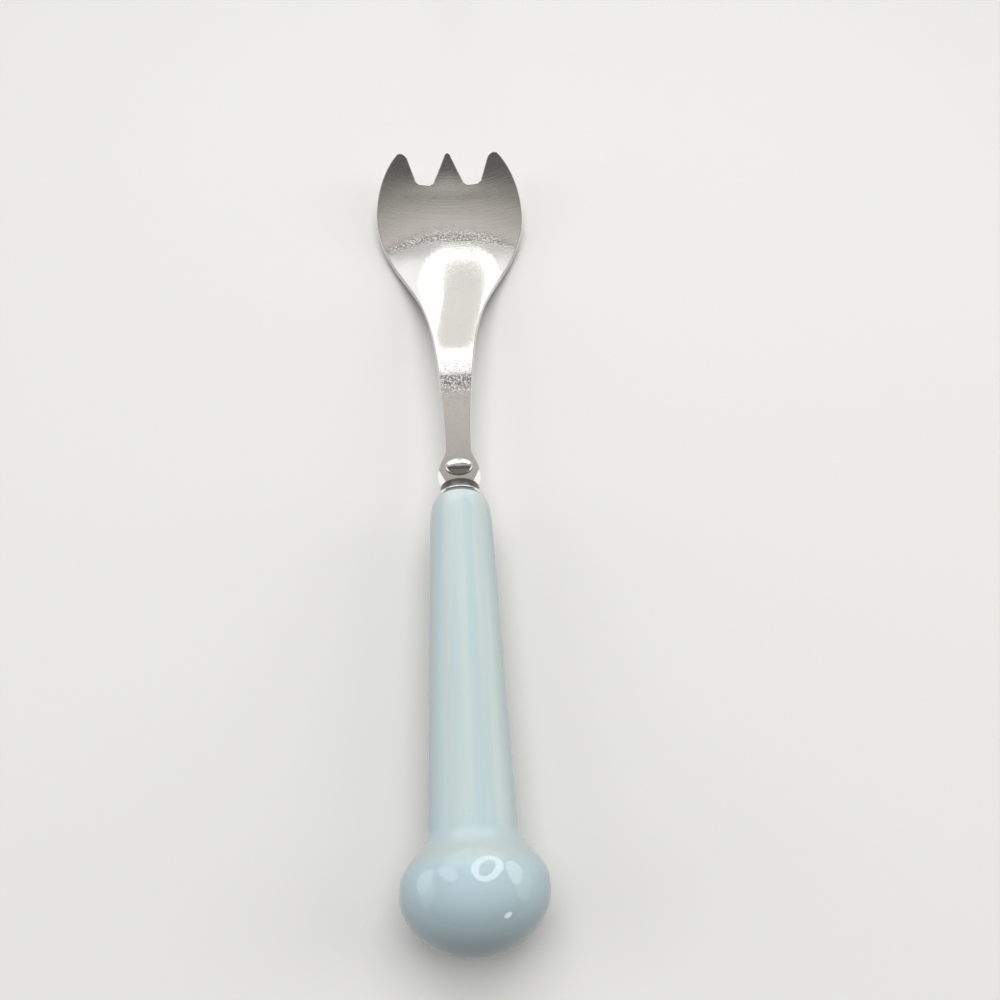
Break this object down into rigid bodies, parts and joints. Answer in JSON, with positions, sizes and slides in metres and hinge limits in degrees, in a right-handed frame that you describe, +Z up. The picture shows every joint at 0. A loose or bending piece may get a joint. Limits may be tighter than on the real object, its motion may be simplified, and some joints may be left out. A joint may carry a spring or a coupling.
{
  "type": "serving fork",
  "caption": "Three-tined serving fork with a dished stainless steel head, a round steel neck and a glazed stoneware handle that ends in a knob.",
  "frame": {"origin": "on the table, under the middle of the fork's length, where the fork lies with its bowl up", "axes": "+Y from the knob to the tine tips, +Z up out of the bowl, +X to the right seen from the knob"},
  "size_m": [0.0438, 0.216, 0.024],
  "materials": {
    "head_steel": "satin",
    "neck_steel": "polished",
    "ring_steel": "polished",
    "cement": "matte",
    "glazed_stoneware": "gloss"
  },
  "bodies": {
    "root": {"fork_head": "head_steel", "neck_tang": "neck_steel", "collar_ring": "ring_steel", "cement": "cement", "handle": "glazed_stoneware"}
  },
  "joints": []
}
